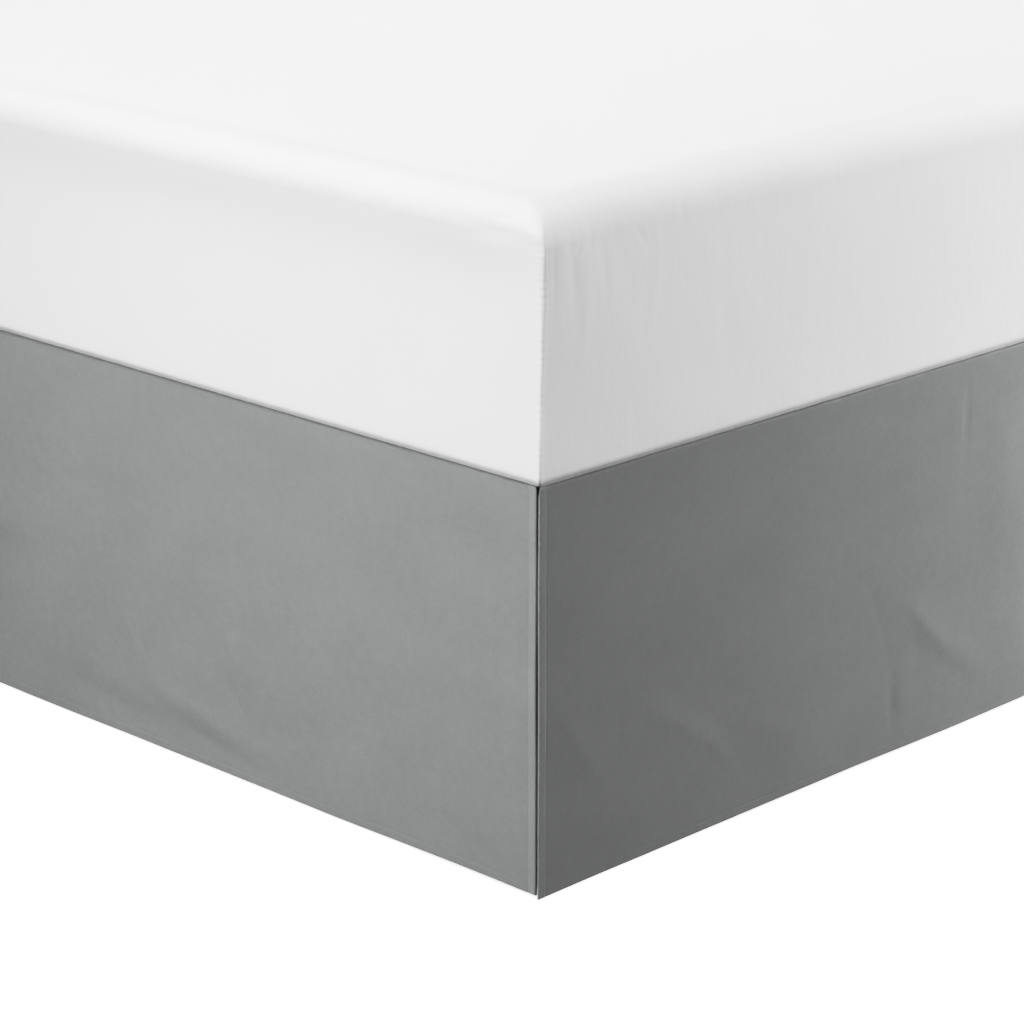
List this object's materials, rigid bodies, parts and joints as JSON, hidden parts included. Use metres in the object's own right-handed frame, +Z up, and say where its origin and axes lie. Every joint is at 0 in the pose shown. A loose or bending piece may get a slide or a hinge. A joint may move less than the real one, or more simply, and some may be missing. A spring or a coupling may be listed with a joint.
{
  "type": "bed skirt on a box bed base with a mattress",
  "caption": "Plain tailored bed skirt with split corners, its deck cloth held between a legged box base and a white mattress.",
  "frame": {"origin": "on the floor, under the middle of the bed", "axes": "+Y towards the head of the bed, the foot drop at -Y, +X towards the side drop that shows in the picture, +Z up"},
  "size_m": [1.529, 2.037, 0.6404],
  "materials": {
    "skirt_fabric": "matt brushed plain weave, cool grey",
    "deck_fabric": "matt non-woven platform cloth, pale grey",
    "base_fabric": "matt upholstery cloth, off-white",
    "leg_wood": "satin lacquered turned wood",
    "mattress_cover": "smooth white cotton cover"
  },
  "bodies": {
    "root": {"drop_foot": "skirt_fabric", "drop_right": "skirt_fabric", "drop_left": "skirt_fabric", "deck": "deck_fabric", "bed_base": "base_fabric", "leg_1": "leg_wood", "leg_2": "leg_wood", "leg_3": "leg_wood", "leg_4": "leg_wood", "leg_5": "leg_wood", "leg_6": "leg_wood", "mattress": "mattress_cover"}
  },
  "joints": []
}
